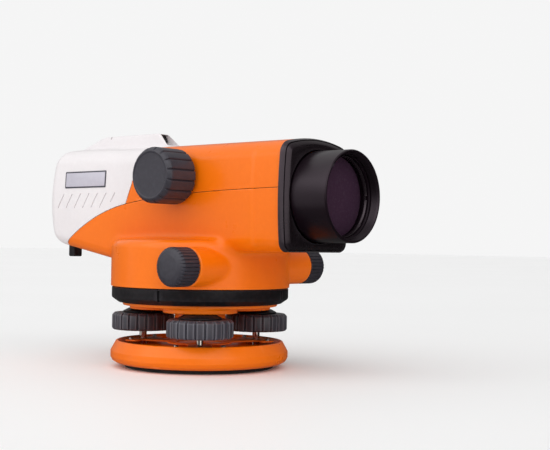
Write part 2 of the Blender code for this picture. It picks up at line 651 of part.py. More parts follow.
# ---- slow-motion drive -----------------------------------------------------------------------
def make_tangent():
    spot = Vector((TANGENT_X, 0, TANGENT_Z))
    worm_r, shaft_r = 4.2, 3.0
    end = 58.5
    shaft = [(0, end), (shaft_r, end), (shaft_r, 9.0), (worm_r, 8.0), (worm_r, -8.0), (shaft_r, -9.0),
             (shaft_r, -end), (0, -end)]
    place("tangent_shaft", turned(shaft, 20, "y", spot), "steel", spot)
    for side, name in ((-1, "tangent_knob_near"), (1, "tangent_knob_far")):
        inner, outer, bore = side * TANGENT_INNER, side * TANGENT_OUTER, side * (end + 0.4)
        edge = TANGENT_KNOB_R
        profile = [(0, bore), (3.3, bore), (3.3, inner), (edge - 0.6, inner), (edge, inner + side * 0.6),
                   (edge, outer - side * 3.2), (edge - 1.4, outer - side * 1.2), (edge - 3.8, outer),
                   (0, outer)]
        knob = place(name, turned(profile, 32, "y", spot), "knob", spot)
        low, high = sorted((inner - side * 5, outer + side * 5))
        cut_flutes(knob, spot, TANGENT_KNOB_R, 16, 0.5, low, high)


def make_all():
    make_base()
    make_spring_plate()
    make_tribrach()
    make_foot_screws()
    make_circle()
    make_axis()
    make_lower_case()
    make_covers()
    make_sight()
    make_label()
    make_front()
    make_bench()
    make_focusing()
    make_compensator()
    make_eyepiece()
    make_reader()
    make_level()
    make_tangent()


make_all()
bpy.context.view_layer.update()
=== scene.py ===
"""Looks of the automatic level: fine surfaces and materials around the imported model.

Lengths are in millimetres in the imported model's frame and become metres in add().
+X is the line of sight towards the objective, -Y the focus-knob side, +Z up.
"""
from contextlib import contextmanager
from math import atan2, cos, pi, radians, sin, sqrt, tan

import bmesh
import bpy
import numpy as np
from mathutils import Matrix, Vector


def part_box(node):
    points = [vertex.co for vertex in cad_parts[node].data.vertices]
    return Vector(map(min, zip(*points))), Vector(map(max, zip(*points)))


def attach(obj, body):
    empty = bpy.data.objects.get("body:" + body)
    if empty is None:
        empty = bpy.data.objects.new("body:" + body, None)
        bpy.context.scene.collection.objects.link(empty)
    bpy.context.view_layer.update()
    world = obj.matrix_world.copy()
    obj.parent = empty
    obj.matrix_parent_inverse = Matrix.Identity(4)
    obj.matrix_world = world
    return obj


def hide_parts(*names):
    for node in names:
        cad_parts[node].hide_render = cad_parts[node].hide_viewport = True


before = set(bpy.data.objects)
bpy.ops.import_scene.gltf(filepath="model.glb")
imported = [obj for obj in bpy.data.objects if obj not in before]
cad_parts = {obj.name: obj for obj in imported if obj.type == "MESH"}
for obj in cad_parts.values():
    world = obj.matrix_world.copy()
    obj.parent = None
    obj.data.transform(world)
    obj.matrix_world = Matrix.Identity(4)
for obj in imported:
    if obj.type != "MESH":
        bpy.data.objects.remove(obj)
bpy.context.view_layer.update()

MM = 0.001
TAU = 2 * pi


# Sizes read from the frame, in millimetres
def corners(node):
    low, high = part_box(node)
    return low / MM, high / MM


def span(node, axis):
    """Where a node starts and ends along x, y or z."""
    return tuple(getattr(corner, axis) for corner in corners(node))


def middle(node):
    low, high = corners(node)
    return (low + high) / 2


BASE_R = span("base_plate", "x")[1]
BASE_TOP = span("base_plate", "z")[1]
GASKET_TOP = span("base_gasket", "z")[1]
RING_LOW, RING_HIGH = span("circle_ring", "z")
RING_R = span("circle_ring", "x")[1]
DRUM_LOW, DRUM_HIGH, DRUM_R = span("lower_case", "z")[0], 76.5, 53.4
BODY_FRONT, BODY_REAR = span("lower_case", "x")[1], span("rear_cover", "x")[0]
BODY_LOW, BODY_HIGH, BODY_HALF = 69.3, 128.2, 28.1
SIDE_BULGE, TOP_CROWN, CORNER_R = 1.8, 4.0, 7.5
AXIS_Z = 100.0
WALL = 2.2
SEAM_GAP = 0.26
SEAM_Z = 96.3
SPLIT_X, SPLIT_LEAN = -35.2, 0.41
RAIL_TOP = span("sight_rail", "z")[1]
TUBE_FRONT, TUBE_R = span("objective_tube", "x")[1], 25.3
FLANGE_FACE = span("front_flange", "x")[1]
FEET = {letter: middle(f"foot_knob_{letter}").to_2d().to_3d() for letter in "abc"}
FOOT_R = 19.1
FOOT_LOW, FOOT_HIGH = span("foot_knob_a", "z")
FOOT_CIRCLE_R = FEET["a"].length
TRIBRACH_R, HUB_BORE_R = 46.2, 9.4
LOBE_R, LOBE_REACH = 21.65, 24.5
LOBE_SCREW_ASIDE = 9.8
FOCUS = middle("focus_knob")
FOCUS_OUTER, FOCUS_INNER = span("focus_knob", "y")
FOCUS_R = 15.95
TANGENT = middle("tangent_shaft")
TANGENT_INNER, TANGENT_OUTER = span("tangent_knob_far", "y")
TANGENT_R = 10.9
VIAL = middle("level_vial")
HINGE = Vector((9.5, VIAL.y, 88.0))
MIRROR_OPEN = radians(45)
EYE = (0, 0, AXIS_Z)
READER_Z = 67.2

AXES = {
    "z": Matrix.Identity(4),
    "x": Matrix.Rotation(radians(90), 4, "Y"),
    "y": Matrix.Rotation(radians(-90), 4, "X"),
}


# Camera, light, floor
def linked(name, data):
    """A new object in the scene."""
    item = bpy.data.objects.new(name, data)
    bpy.context.scene.collection.objects.link(item)
    return item


def add_camera():
    """The camera looks a little up, 39.8 degrees round from the focus-knob side, slightly rolled."""
    round_by, pitch, roll = (radians(a) for a in (39.8, 1.0, 0.9))
    distance, aside, height = 662.7, -44.2, 73.6
    data = bpy.data.cameras.new("camera")
    data.lens, data.sensor_width = 72.0, 36.0
    data.clip_start, data.clip_end = 0.01, 60
    camera = linked("camera", data)
    around = Matrix.Rotation(round_by, 4, "Z")
    spot = Matrix.Translation(Vector((-aside, -distance, height)) * MM)
    tilt = Matrix.Rotation(pi / 2 + pitch, 4, "X") @ Matrix.Rotation(roll, 4, "Z")
    camera.matrix_world = around @ spot @ tilt
    bpy.context.scene.camera = camera


def add_sun(name, travel, energy, spread, gloss):
    """A soft far light that shines along a direction."""
    data = bpy.data.lights.new(name, "SUN")
    data.energy, data.angle, data.specular_factor = energy, radians(spread), gloss
    lamp = linked(name, data)
    lamp.rotation_mode = "QUATERNION"
    lamp.rotation_quaternion = Vector(travel).to_track_quat("-Z", "Y")


def set_inputs(node, **values):
    """Fill in a node's sockets; an underscore in a name stands for a space."""
    for socket, value in values.items():
        node.inputs[socket.replace("_", " ")].default_value = value


def add_world():
    """A white room, bright overhead; what shines back from it is brighter on the focus-knob side."""
    world = bpy.data.worlds.new("studio")
    bpy.context.scene.world = world
    world.use_nodes = True
    nodes, links = world.node_tree.nodes, world.node_tree.links
    where, split, height, path, mix, toward, lean, scaled = (
        nodes.new("ShaderNode" + kind) for kind in
        ("TexCoord", "SeparateXYZ", "MapRange", "LightPath", "Mix", "VectorMath", "Math", "Math"))
    set_inputs(height, From_Min=0.0, From_Max=0.85, To_Min=0.1, To_Max=0.78)
    toward.operation, lean.operation, scaled.operation = "DOT_PRODUCT", "MULTIPLY_ADD", "MULTIPLY"
    toward.inputs[1].default_value = (-0.51, -0.62, 0)
    lean.inputs[2].default_value = 1.0
    mix.inputs["B"].default_value = 0.915
    for source, output, target, socket in (
            (where, "Generated", split, "Vector"), (where, "Generated", toward, 0),
            (toward, "Value", lean, 0), (path, "Is Glossy Ray", lean, 1),
            (split, "Z", height, "Value"), (height, "Result", scaled, 0), (lean, "Value", scaled, 1),
            (scaled, "Value", mix, "A"), (path, "Is Camera Ray", mix, "Factor"),
            (mix, "Result", nodes["Background"], "Strength")):
        links.new(source.outputs[output], target.inputs[socket])
    nodes["Background"].inputs["Color"].default_value = (1.0, 1.0, 1.0, 1)


def add_studio():
    add_sun("key", (-0.04, 0.76, -0.65), 1.28, 80, 0.4)
    add_sun("low", (0.55, 0.82, -0.14), 0.45, 60, 1.0)
    add_sun("fill", (-0.88, 0.32, -0.34), 1.0, 60, 0.0)
    add_world()
    settings = bpy.context.scene.view_settings
    settings.view_transform, settings.look = "Standard", "None"


# Materials
class Shader:
    """A small helper that lays nodes into one material."""

    def __init__(self, name, **fixed):
        self.material = bpy.data.materials.new(name)
        self.material.use_nodes = True
        self.nodes = self.material.node_tree.nodes
        self.links = self.material.node_tree.links
        self.main = self.nodes["Principled BSDF"]
        set_inputs(self.main, **fixed)
        self.where = self.nodes.new("ShaderNodeTexCoord").outputs["Object"]

    def noise(self, scale, detail=4.0, roughness=0.55, stretch=None):
        made = self.nodes.new("ShaderNodeTexNoise")
        set_inputs(made, Scale=scale, Detail=detail, Roughness=roughness)
        source = self.where
        if stretch:
            mapped = self.nodes.new("ShaderNodeMapping")
            mapped.inputs["Scale"].default_value = stretch
            self.links.new(self.where, mapped.inputs["Vector"])
            source = mapped.outputs["Vector"]
        self.links.new(source, made.inputs["Vector"])
        return made.outputs["Fac"]

    def spread(self, value, low, high, source_low=0.3, source_high=0.7):
        made = self.nodes.new("ShaderNodeMapRange")
        set_inputs(made, From_Min=source_low, From_Max=source_high, To_Min=low, To_Max=high)
        self.links.new(value, made.inputs["Value"])
        return made.outputs["Result"]

    def blend(self, share, first, second):
        """A mix of two colours; either may be a socket."""
        made = self.nodes.new("ShaderNodeMix")
        made.data_type = "RGBA"
        self.links.new(share, made.inputs["Factor"])
        for socket, colour in ((made.inputs[6], first), (made.inputs[7], second)):
            if isinstance(colour, tuple):
                socket.default_value = (*colour, 1.0)
            else:
                self.links.new(colour, socket)
        return made.outputs[2]

    def wear_and_highlight_edges(self):
        """1 on sharp convex edges and 0 elsewhere."""
        made = self.nodes.new("ShaderNodeNewGeometry")
        return self.spread(made.outputs["Pointiness"], 0.0, 1.0, 0.52, 0.62)

    def feed(self, socket, value):
        self.links.new(value, self.main.inputs[socket])

    def relief(self, *layers):
        """Bump layers, each (height socket, strength, distance in metres)."""
        normal = None
        for height, strength, distance in layers:
            made = self.nodes.new("ShaderNodeBump")
            set_inputs(made, Strength=strength, Distance=distance)
            self.links.new(height, made.inputs["Height"])
            if normal:
                self.links.new(normal, made.inputs["Normal"])
            normal = made.outputs["Normal"]
        self.feed("Normal", normal)


def moulded(name, colour, dark, light, rough, grain=2600.0, height=0.00003, wear_and_highlight_tone=None, **fixed):
    """Paint or moulded plastic: slow tone changes, fine grain, and a lighter tone on sharp edges, which
    stands for wear and, on the foot knobs, also for a painted highlight.
    """
    made = Shader(name, **fixed)
    tone = made.blend(made.spread(made.noise(28, 3), 0, 1), dark, colour)
    tone = made.blend(made.spread(made.noise(420, 5), 0, 0.35, 0.45, 0.75), tone, light)
    # Sharp edges take a lighter tone: wear, and on the foot knobs also a painted highlight.
    if wear_and_highlight_tone:
        tone = made.blend(made.wear_and_highlight_edges(), tone, wear_and_highlight_tone)
    made.feed("Base Color", tone)
    made.feed("Roughness", made.spread(made.noise(90, 4), rough[0], rough[1]))
    made.relief((made.noise(grain, 3), 0.35, height), (made.noise(60, 2), 0.12, 0.0002))
    return made.material


def turned_metal(name, colour, dark, rough, axis="z", lines=2200.0):
    """Metal with fine lathe lines round an axis and slight stains."""
    made = Shader(name, Metallic=1.0)
    stretch = {"z": (0.02, 0.02, 1), "x": (1, 0.02, 0.02), "y": (0.02, 1, 0.02)}[axis]
    fine = made.noise(lines, 2, 0.5, stretch)
    stains = made.spread(made.noise(70, 5), 0, 1, 0.35, 0.75)
    made.feed("Base Color", made.blend(stains, colour, dark))
    made.feed("Roughness", made.spread(fine, rough[0], rough[1]))
    made.relief((fine, 0.25, 0.00004))
    return made.material


def lens_look(name, centre, edge, transmission):
    """Coated glass: its tint turns from centre to edge with the angle of view, under a trace of dust."""
    made = Shader(name, Roughness=0.02, IOR=1.52, Transmission_Weight=transmission,
                  Specular_IOR_Level=0.12, Specular_Tint=(0.62, 0.42, 0.85, 1))
    facing = made.nodes.new("ShaderNodeLayerWeight")
    facing.inputs["Blend"].default_value = 0.35
    dust = made.spread(made.noise(900, 6), 0, 0.03, 0.5, 0.8)
    tone = made.blend(facing.outputs["Facing"], centre, edge)
    made.feed("Base Color", made.blend(dust, tone, (0.5, 0.48, 0.5)))
    made.relief((made.noise(30, 1), 0.03, 0.0001))
    return made.material


def make_looks():
    return {
        "orange": moulded(
            "orange_enamel", (0.86, 0.166, 0.0015), (0.82, 0.15, 0.001), (0.9, 0.178, 0.005),
            (0.27, 0.36), 3400, 2e-5, (0.93, 0.22, 0.03), Specular_IOR_Level=0.25,
            Coat_Weight=0.12, Coat_Roughness=0.12),
        "plate": moulded(
            "orange_plate", (0.82, 0.135, 0.001), (0.76, 0.115, 0.001), (0.86, 0.155, 0.004),
            (0.5, 0.65), 3400, 3e-5, (0.9, 0.2, 0.02), Specular_IOR_Level=0.28),
        "white": moulded(
            "white_cover", (0.76, 0.725, 0.735), (0.73, 0.695, 0.705), (0.8, 0.77, 0.775),
            (0.38, 0.5), 3000, 2.5e-5),
        "black": moulded(
            "black_moulding", (0.008, 0.005, 0.007), (0.006, 0.004, 0.005), (0.016, 0.012, 0.014),
            (0.2, 0.3), 2400, 3e-5, (0.05, 0.04, 0.046), Specular_Tint=(1.0, 0.82, 0.92, 1)),
        "ring": moulded(
            "ring_moulding", (0.012, 0.01, 0.012), (0.007, 0.006, 0.007), (0.03, 0.028, 0.031),
            (0.3, 0.44), 2400, 4e-5, (0.06, 0.057, 0.065), Specular_IOR_Level=0.16),
        "knob": moulded(
            "knob_rubber", (0.036, 0.033, 0.044), (0.028, 0.026, 0.035), (0.058, 0.055, 0.07),
            (0.36, 0.48), 2900, 3e-5, Specular_IOR_Level=0.38),
        # The foot knobs' light edge tone is partly wear and partly a painted highlight along the lobe
        # edges.
        "foot": moulded(
            "foot_rubber", (0.042, 0.039, 0.051), (0.032, 0.03, 0.04), (0.065, 0.062, 0.078),
            (0.34, 0.44), 2900, 3e-5, (0.3, 0.29, 0.33)),
        "gloss": moulded(
            "tube_anodised", (0.006, 0.003, 0.005), (0.005, 0.002, 0.004), (0.009, 0.005, 0.007),
            (0.27, 0.33), 4200, 8e-6, (0.03, 0.026, 0.03), Specular_IOR_Level=0.33,
            Specular_Tint=(1.0, 0.82, 0.95, 1)),
        "rubber": moulded(
            "gasket_rubber", (0.02, 0.02, 0.021), (0.012, 0.012, 0.012), (0.05, 0.05, 0.05),
            (0.75, 0.9), 1800, 8e-5),
        "dark": moulded(
            "dark_lining", (0.01, 0.01, 0.012), (0.006, 0.006, 0.007), (0.02, 0.02, 0.022),
            (0.6, 0.8), 1500, 8e-5),
        "label": moulded(
            "label_face", (0.52, 0.5, 0.57), (0.49, 0.47, 0.54), (0.59, 0.57, 0.63),
            (0.3, 0.42), 5200, 1e-5),
        "label_edge": moulded(
            "label_edge", (0.062, 0.06, 0.078), (0.045, 0.044, 0.058), (0.1, 0.1, 0.12),
            (0.35, 0.5), 5200, 1e-5),
        "scale": moulded(
            "circle_face", (0.72, 0.71, 0.68), (0.66, 0.65, 0.62), (0.8, 0.79, 0.76),
            (0.35, 0.5), 3200, 1e-5),
        "mark": moulded(
            "white_mark", (0.8, 0.79, 0.76), (0.72, 0.71, 0.68), (0.88, 0.87, 0.85),
            (0.45, 0.6), 3200, 1e-5),
        "bright": turned_metal(
            "polished_steel", (0.58, 0.53, 0.48), (0.42, 0.38, 0.34), (0.07, 0.12), lines=300),
        "worn_steel": turned_metal(
            "worn_steel", (0.4, 0.33, 0.29), (0.24, 0.19, 0.16), (0.3, 0.45), lines=900),
        "steel": turned_metal("turned_steel", (0.78, 0.75, 0.71), (0.55, 0.53, 0.5), (0.16, 0.3)),
        "steel_y": turned_metal("shaft_steel", (0.74, 0.72, 0.69), (0.5, 0.49, 0.47), (0.18, 0.32), "y"),
        "steel_x": turned_metal("rod_steel", (0.74, 0.72, 0.69), (0.5, 0.49, 0.47), (0.18, 0.32), "x"),
        "brass": turned_metal("machined_brass", (0.72, 0.5, 0.2), (0.52, 0.34, 0.12), (0.22, 0.36)),
        "alloy": turned_metal("cast_alloy", (0.52, 0.53, 0.55), (0.4, 0.41, 0.43), (0.35, 0.5), "x"),
        "coated": lens_look("coated_lens", (0.034, 0.016, 0.028), (0.045, 0.02, 0.045), 0.0),
        "clear": lens_look("clear_lens", (0.86, 0.9, 0.92), (0.7, 0.78, 0.85), 0.95),
        "mirror": turned_metal(
            "silvered", (0.9, 0.91, 0.92), (0.84, 0.85, 0.87), (0.02, 0.05), lines=300),
        "liquid": lens_look("level_liquid", (0.55, 0.72, 0.12), (0.62, 0.8, 0.25), 0.55),
    }


# Mesh tools
@contextmanager
def editing(mesh):
    """Open a mesh for editing and write it back."""
    bm = bmesh.new()
    bm.from_mesh(mesh)
    yield bm
    bm.to_mesh(mesh)
    bm.free()


def mesh_from(points, faces, matrix=None):
    """A mesh in millimetres with its faces pointing out."""
    mesh = bpy.data.meshes.new("piece")
    mesh.from_pydata([tuple(p) for p in points], [], faces)
    if matrix:
        mesh.transform(matrix)
    with editing(mesh) as bm:
        bmesh.ops.remove_doubles(bm, verts=bm.verts, dist=0.0005)
        bmesh.ops.recalc_face_normals(bm, faces=bm.faces)
    return mesh


def soften(points, radius, closed=False, arc=4, keep=()):
    """Round the corners of a polyline, except its ends and the corners listed in keep."""
    made = []
    count = len(points)
    for k, point in enumerate(points):
        here = Vector(point)
        back, ahead = Vector(points[k - 1]) - here, Vector(points[(k + 1) % count]) - here
        angle = back.angle(ahead, pi)
        if k in keep or angle > pi - 0.1 or (not closed and k in (0, count - 1)):
            made.append(tuple(here))
            continue
        cut = min(radius / tan(angle / 2), 0.45 * back.length, 0.45 * ahead.length)
        start, end = here + back.normalized() * cut, here + ahead.normalized() * cut
        for j in range(arc + 1):
            t = j / arc
            made.append(tuple(start * (1 - t) ** 2 + here * (2 * t * (1 - t)) + end * t * t))
    return made


def lathe(profile, steps=144, ring=False, axis="z", centre=(0, 0, 0), shape=None, angles=None):
    """Turn (radius, height) points about an axis; shape(r, h, angles) may vary the radius."""
    if angles is None:
        angles = np.linspace(0, TAU, steps, endpoint=False)
    points, rows = [], []
    for r, h in profile:
        first = len(points)
        if r < 1e-6:
            points.append((0, 0, h))
            rows.append([first] * len(angles))
            continue
        radius = shape(r, h, angles) if shape else np.full(len(angles), r)
        points += zip(radius * np.cos(angles), radius * np.sin(angles), np.full(len(angles), h))
        rows.append(range(first, first + len(angles)))
    faces = []
    for a, b in zip(rows, rows[1:] + rows[:1] * ring):
        for k in range(len(angles)):
            n = (k + 1) % len(angles)
            corner = list(dict.fromkeys((a[k], a[n], b[n], b[k])))
            if len(corner) > 2:
                faces.append(corner)
    return mesh_from(points, faces, Matrix.Translation(centre) @ AXES[axis])


def ribs(count, depth, groove, full_r, low, high, phase=0.0):
    """A radius rule that sinks narrow valleys into the rim, between two heights."""
    def rule(r, h, angles):
        turn = (angles * count / TAU + phase) % 1.0
        off = np.minimum(turn, 1 - turn)
        valley = np.clip(1 - off / groove, 0, 1)
        valley = valley * valley * (3 - 2 * valley)
        weight = np.clip((r - 0.86 * full_r) / (0.1 * full_r), 0, 1) if low <= h <= high else 0.0
        return r - depth * weight * valley
    return rule


def strips(rows, count, closed=False):
    """Faces between neighbouring rows of points; each row is a loop."""
    faces = []
    for row in range(rows if closed else rows - 1):
        here, after = row * count, (row + 1) % rows * count
        for k in range(count):
            n = (k + 1) % count
            faces.append((here + k, here + n, after + n, after + k))
    return faces


def plug(radius, low, high, steps, centre=(0, 0, 0), axis="z"):
    """A round bar that cuts a hole."""
    return lathe([(0, high), (radius, high), (radius, low), (0, low)], steps, axis=axis, centre=centre)


def bowl(radius, top, sag, count):
    """Profile of a lens face from its middle to its rim, which lies lower by the sag."""
    return [(radius * k / count, top - sag * (k / count) ** 2) for k in range(count + 1)]


def slab(outline, low, high, edge):
    """An outline in x and y given a thickness in z, with rounded rims."""
    count = len(outline)
    flat = np.array(outline, float)
    after = np.roll(flat, -1, 0)
    along = after - np.roll(flat, 1, 0)
    out = np.stack([along[:, 1], -along[:, 0]], 1)
    out /= np.maximum(np.linalg.norm(out, axis=1, keepdims=True), 1e-9)
    area = 0.5 * np.sum(flat[:, 0] * after[:, 1] - after[:, 0] * flat[:, 1])
    out *= 1 if area > 0 else -1
    levels = ((edge, low), (0.3 * edge, low + 0.3 * edge), (0, low + edge),
              (0, high - edge), (0.3 * edge, high - 0.3 * edge), (edge, high))
    points = [(x, y, z) for inset, z in levels for x, y in flat - out * inset]
    top = (len(levels) - 1) * count
    caps = [tuple(range(count)), tuple(range(top, top + count))]
    return mesh_from(points, strips(len(levels), count) + caps)


def rectangle(x0, y0, x1, y1, radius):
    return soften([(x0, y0), (x1, y0), (x1, y1), (x0, y1)], radius, True, 5)


def block(low, high, edge):
    """A box with rounded edges."""
    mesh = bpy.data.meshes.new("block")
    with editing(mesh) as bm:
        bmesh.ops.create_cube(bm, size=1.0)
        bmesh.ops.scale(bm, vec=Vector(high) - Vector(low), verts=bm.verts)
        bmesh.ops.bevel(bm, geom=bm.edges[:], offset=edge, segments=3, profile=0.5, affect="EDGES")
        bmesh.ops.translate(bm, vec=(Vector(high) + Vector(low)) / 2, verts=bm.verts)
    return mesh


def joined(*meshes):
    """Several meshes as one."""
    made = bpy.data.meshes.new("joined")
    with editing(made) as bm:
        for mesh in meshes:
            bm.from_mesh(mesh)
    return made


def moved(mesh, matrix):
    made = mesh.copy()
    made.transform(matrix)
    return made


def applied(item, *spare):
    """The mesh that an object's modifiers give; the object and the spare ones are removed."""
    bpy.context.view_layer.update()
    graph = bpy.context.evaluated_depsgraph_get()
    result = bpy.data.meshes.new_from_object(item.evaluated_get(graph))
    for one in (item, *spare):
        bpy.data.objects.remove(one, do_unlink=True)
    return result


def combined(mesh, operation, *others):
    """EXACT Booleans of one mesh with others, returned as a plain mesh."""
    item = linked("combined", mesh)
    tools = [linked("tool", other) for other in others]
    for tool in tools:
        made = item.modifiers.new("Boolean", "BOOLEAN")
        made.operation, made.solver, made.object = operation, "EXACT", tool
    return applied(item, *tools)


def add(name, mesh, look, body="telescope", replaced=(), sharp=38):
    """Link a piece built in millimetres and let it ride on a body."""
    mesh.transform(Matrix.Scale(MM, 4))
    mesh.materials.clear()
    mesh.materials.append(LOOKS[look])
    mesh.shade_smooth()
    mesh.set_sharp_from_angle(angle=radians(sharp))
    item = linked(name, mesh)
    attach(item, body)
    if replaced:
        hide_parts(*replaced)


def skin(node, mesh, look, body="telescope", sharp=38):
    """The fine form of one CAD node."""
    add(f"{node}_skin", mesh, look, body, [node], sharp)


# Smooth housings from distance fields
def meet(a, b, k):
    """Smooth union of two fields with a fillet of about k."""
    h = np.maximum(k - abs(a - b), 0) / k
    return np.minimum(a, b) - h * h * k / 4


def cross(a, b, k):
    """Smooth intersection of two fields with an edge radius of about k."""
    return -meet(-a, -b, k)


def rounded(edge, *walls):
    """What lies inside three walls, with its edges and corners rounded."""
    a, b, c = (wall + edge for wall in walls)
    out = np.sqrt(np.maximum(a, 0) ** 2 + np.maximum(b, 0) ** 2 + np.maximum(c, 0) ** 2)
    return out + np.minimum(np.maximum(np.maximum(a, b), c), 0) - edge


def rod_field(across, along, radius, half, edge):
    """A round bar with rounded ends."""
    a, b = across - radius + edge, along - half + edge
    return np.hypot(np.maximum(a, 0), np.maximum(b, 0)) + np.minimum(np.maximum(a, b), 0) - edge


def window(axis, here, rest):
    """An index with one slice along an axis and another along the other two."""
    cut = [rest] * 3
    cut[axis] = here
    return tuple(cut)


def field_mesh(field, low, high, step):
    """The zero surface of field(x, y, z): one point a crossed cell, relaxed and set on the surface."""
    axes = [np.arange(a, b + step, step) for a, b in zip(low, high)]
    values = field(*np.meshgrid(*axes, indexing="ij", sparse=True))
    inside = values < 0
    shape = tuple(n - 1 for n in values.shape)
    total, hits = np.zeros(shape + (3,)), np.zeros(shape)
    for axis in range(3):
        a, b = (window(axis, cut, slice(None)) for cut in (slice(0, -1), slice(1, None)))
        va, vb = values[a], values[b]
        crossed = inside[a] != inside[b]
        share = np.where(crossed, va / np.where(crossed, va - vb, 1), 0)
        p, q = (d for d in range(3) if d != axis)
        for dp in (0, 1):
            for dq in (0, 1):
                cut = [slice(None)] * 3
                cut[p], cut[q] = slice(dp, dp + shape[p]), slice(dq, dq + shape[q])
                mask = crossed[tuple(cut)]
                total[..., axis] += np.where(mask, share[tuple(cut)], 0)
                total[..., p] += np.where(mask, dp, 0)
                total[..., q] += np.where(mask, dq, 0)
                hits += mask
    active = hits > 0
    number = np.full(shape, -1)
    number[active] = np.arange(active.sum())
    cell = np.argwhere(active)
    corner = np.array([axes[d][0] for d in range(3)])
    points = corner + (cell + total[active] / hits[active][:, None]) * step
    faces = []
    for axis in range(3):
        u, v = (axis + 1) % 3, (axis + 2) % 3
        ia, ib = (inside[window(axis, cut, slice(1, -1))] for cut in (slice(0, -1), slice(1, None)))
        spots = np.argwhere(ia != ib)
        flip = ib[tuple(spots.T)]
        ring = []
        for du, dv in ((0, 0), (1, 0), (1, 1), (0, 1)):
            at = spots.copy()
            at[:, u] += du
            at[:, v] += dv
            ring.append(number[tuple(at.T)])
        quad = np.stack(ring, 1)
        quad[flip] = quad[flip][:, ::-1]
        faces.append(quad)
    faces = np.concatenate(faces)
    points = settle(field, points, faces, step)
    return mesh_from(points, faces.tolist())


def settle(field, points, faces, step):
    """Even out the points along the surface and set each one exactly on it."""
    edges = np.concatenate([faces[:, [k, (k + 1) % 4]] for k in range(4)])
    for _ in range(3):
        total, count = np.zeros_like(points), np.zeros(len(points))
        for a, b in (edges.T, edges.T[::-1]):
            np.add.at(total, a, points[b])
            np.add.at(count, a, 1)
        points = 0.5 * points + 0.5 * total / count[:, None]
        for _ in range(2):
            here = field(*points.T)
            slope = np.stack([(field(*(points + shift).T) - here) / 0.01
                              for shift in np.eye(3) * 0.01], 1)
            pull = here / np.maximum((slope ** 2).sum(1), 0.05)
            points = points - slope * np.clip(pull, -0.5 * step, 0.5 * step)[:, None]
    return points


def limits(x):
    """Underside and upper edge of the telescope body along its length."""
    dip = np.clip((-28 - x) / 26.0, 0, 1)
    low = BODY_LOW - 6.4 * dip * dip * (3 - 2 * dip) + np.maximum(-52 - x, 0) * 0.18
    high = BODY_HIGH + 1.2 * np.clip((-45 - x) / 30.0, 0, 1)
    return low, high


def side_reach(x, z):
    """Half width of the body's side wall."""
    low, high = limits(x)
    t = np.clip((z - (low + high) / 2) / ((high - low) / 2), -1, 1)
    taper = 0.4 * np.clip((x - 64.5) / 2.0, 0, 1)
    return BODY_HALF + SIDE_BULGE * (1 - t * t) - taper


def body_field(x, y, z):
    """The whole telescope body, open-ended at the front."""
    low, high = limits(x)
    side = abs(y) - side_reach(x, z)
    crown = high + TOP_CROWN * (1 - np.clip(y / BODY_HALF, -1.1, 1.1) ** 2)
    ends = np.maximum(z - crown, low - z)
    rear = BODY_REAR + 3.0 * ((z - 98) / 27.0) ** 2 - x
    return rounded(CORNER_R, side, ends, rear)


def lower_field(x, y, z):
    tall = DRUM_HIGH - DRUM_LOW + 20
    across = np.hypot(x, y)
    slope = 0.06 * np.maximum(across - 26, 0)
    drum = rod_field(across, abs(z + slope - (DRUM_HIGH - tall / 2)), DRUM_R, tall / 2, 4.5)
    boss = rod_field(np.hypot(x - TANGENT.x, z - TANGENT.z), abs(y), TANGENT_R, 48.7, 0.8)
    return meet(meet(body_field(x, y, z), drum, 4.0), boss, 0.9)


def rail_field(x, y, z):
    """The sighting rail: a bar with leaning sides and sloping ends."""
    top, base = RAIL_TOP, 134.2
    side = abs(y) - 3.9 - 0.25 * (top - z)
    rear = (z - base - (x + 102.2) * 0.4) * 0.928
    front = (z - base + (x + 25.5) * 0.888) * 0.748
    bar = cross(cross(cross(side, rear, 1.4), cross(front, z - top, 1.4), 1.4), base - 8 - z, 1.0)
    bar = cross(bar, body_field(x, y, np.minimum(z, 128.0)) + 0.4, 0.6)
    skirt = meet(body_field(x, y, z) - 0.06, bar, 2.4)
    return cross(cross(skirt, bar - 2.6, 0.3), 130.4 - z, 0.3)


def rear_field(x, y, z):
    away = np.hypot(y, z - AXIS_Z)
    return cross(body_field(x, y, z), -rod_field(away, abs(x + 112.8), 18.6, 10.0, 0.5), 0.8)


def seam(x):
    """Height of the joint line between the lower case and the covers."""
    run = np.maximum(-36.0 - x, 0)
    rise = 8.6 * (1 - np.exp(np.minimum(-36.0 - x, 0) / 50.0))
    return SEAM_Z + rise - 0.17 * run - 0.0046 * run * run


def keep_side(mesh, point, normal, warp=lambda x: 0.0):
    """Cut a mesh with a plane, and keep what lies on the side that the normal points to.

    warp(x) gives a height that is taken off first, so that the plane follows a curved seam.
    """
    with editing(mesh) as bm:
        for vert in bm.verts:
            vert.co.z -= warp(vert.co.x)
        bmesh.ops.bisect_plane(bm, geom=bm.verts[:] + bm.edges[:] + bm.faces[:], dist=1e-4,
                               plane_co=point, plane_no=normal, clear_inner=True)
        for vert in bm.verts:
            vert.co.z += warp(vert.co.x)


def thickened(mesh, wall=WALL):
    """Turn in the open rims with a small chamfer and give the skin a wall."""
    chamfer, push = 0.12, {}
    with editing(mesh) as bm:
        bm.normal_update()
        rim = [e for e in bm.edges if len(e.link_faces) == 1]
        for vert in {v for e in rim for v in e.verts}:
            inner = sum((f.calc_center_median() for f in vert.link_faces), Vector())
            out = vert.co - inner / len(vert.link_faces)
            out -= out.dot(vert.normal) * vert.normal
            push[tuple(vert.co)] = (out.normalized() - vert.normal) * chamfer
        made = bmesh.ops.extrude_edge_only(bm, edges=rim)
        for vert in made["geom"]:
            if isinstance(vert, bmesh.types.BMVert):
                vert.co += push[tuple(vert.co)]
        bm.normal_update()
    item = linked("skin", mesh)
    solid = item.modifiers.new("Solidify", "SOLIDIFY")
    solid.thickness, solid.offset = wall, -1
    return applied(item)


